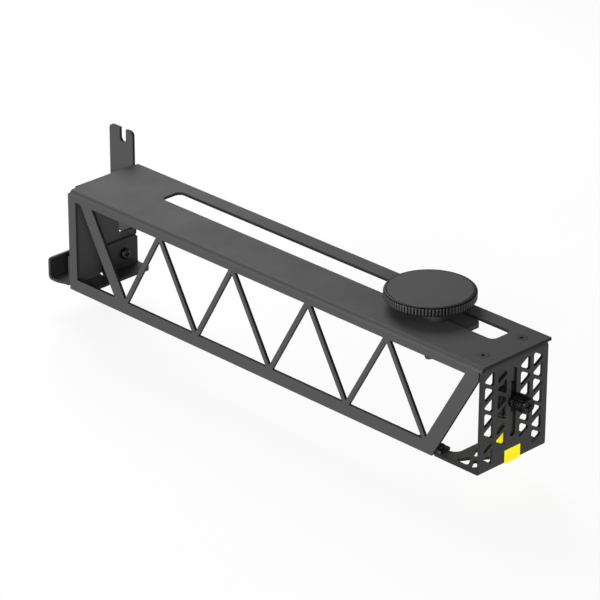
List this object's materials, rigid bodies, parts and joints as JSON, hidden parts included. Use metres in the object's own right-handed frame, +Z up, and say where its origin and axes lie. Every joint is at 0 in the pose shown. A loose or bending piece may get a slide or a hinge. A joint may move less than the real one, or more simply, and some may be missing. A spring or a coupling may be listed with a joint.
{
  "type": "graphics card support bracket",
  "caption": "Folded truss beam with a slotted top, a knurled puck that slides and screws up, a slot-screw tab and a perforated end bracket with a sliding leg.",
  "frame": {"origin": "where the axis of the case's slot screw crosses the outer face of the tab, at the centre of the notch's round end", "axes": "+X along the beam away from the computer case's rear, +Y across the beam from the truss wall to the slot-screw tab, +Z up through the puck"},
  "size_m": [0.2878, 0.0501, 0.0661],
  "materials": {
    "coated_sheet": "fine matte powder coat",
    "dark_metal": "satin black coating",
    "black_steel": "black oxide",
    "zinc_steel": "zinc plated",
    "brass": "turned",
    "grey_rubber": "matte",
    "yellow_plastic": "moulded",
    "black_plastic": "moulded",
    "pale_nylon": "sheet"
  },
  "bodies": {
    "frame": {"beam": "coated_sheet", "hook_bracket": "coated_sheet", "clamp_plate": "coated_sheet", "hook_screw": "zinc_steel", "hook_nut": "zinc_steel", "end_bracket": "coated_sheet", "bracket_screws": "black_steel", "clinch_nuts": "zinc_steel", "arm_screw": "black_steel"},
    "slider": {"glide_sheet": "pale_nylon", "carriage": "dark_metal", "clamp_bar": "dark_metal", "carriage_screws": "black_steel", "threaded_insert": "brass"},
    "riser": {"pad_plate": "dark_metal", "pad": "grey_rubber"},
    "lifting_puck": {"puck": "dark_metal", "lift_stud": "zinc_steel"},
    "far_leg": {"leg": "coated_sheet", "leg_foot": "yellow_plastic", "leg_guide": "black_plastic", "leg_nut": "zinc_steel", "thumb_washer": "black_steel"},
    "knob": {"thumbscrew": "black_steel"}
  },
  "joints": [
    {"name": "slider_slide", "type": "slide", "parent": "frame", "child": "slider", "axis": [1, 0, 0], "range_m": [-0.1515, 0.0175]},
    {"name": "puck_lift", "type": "slide", "parent": "slider", "child": "riser", "axis": [0, 0, 1], "range_m": [0, 0.014]},
    {"name": "puck_turn", "type": "hinge", "parent": "riser", "child": "lifting_puck", "pos_m": [0.2119, -0.0145, -0.0053], "axis": [0, 0, 1], "range_deg": [0, 7201]},
    {"name": "leg_slide", "type": "slide", "parent": "frame", "child": "far_leg", "axis": [0, 0, 1], "range_m": [-0.015, 0]},
    {"name": "knob_turn", "type": "hinge", "parent": "far_leg", "child": "knob", "pos_m": [0.2695, -0.0236, -0.0319], "axis": [1, 0, 0], "continuous": true}
  ],
  "couplings": [
    {"joint": "puck_turn", "follows": "puck_lift", "rad_per_m": 8976}
  ]
}
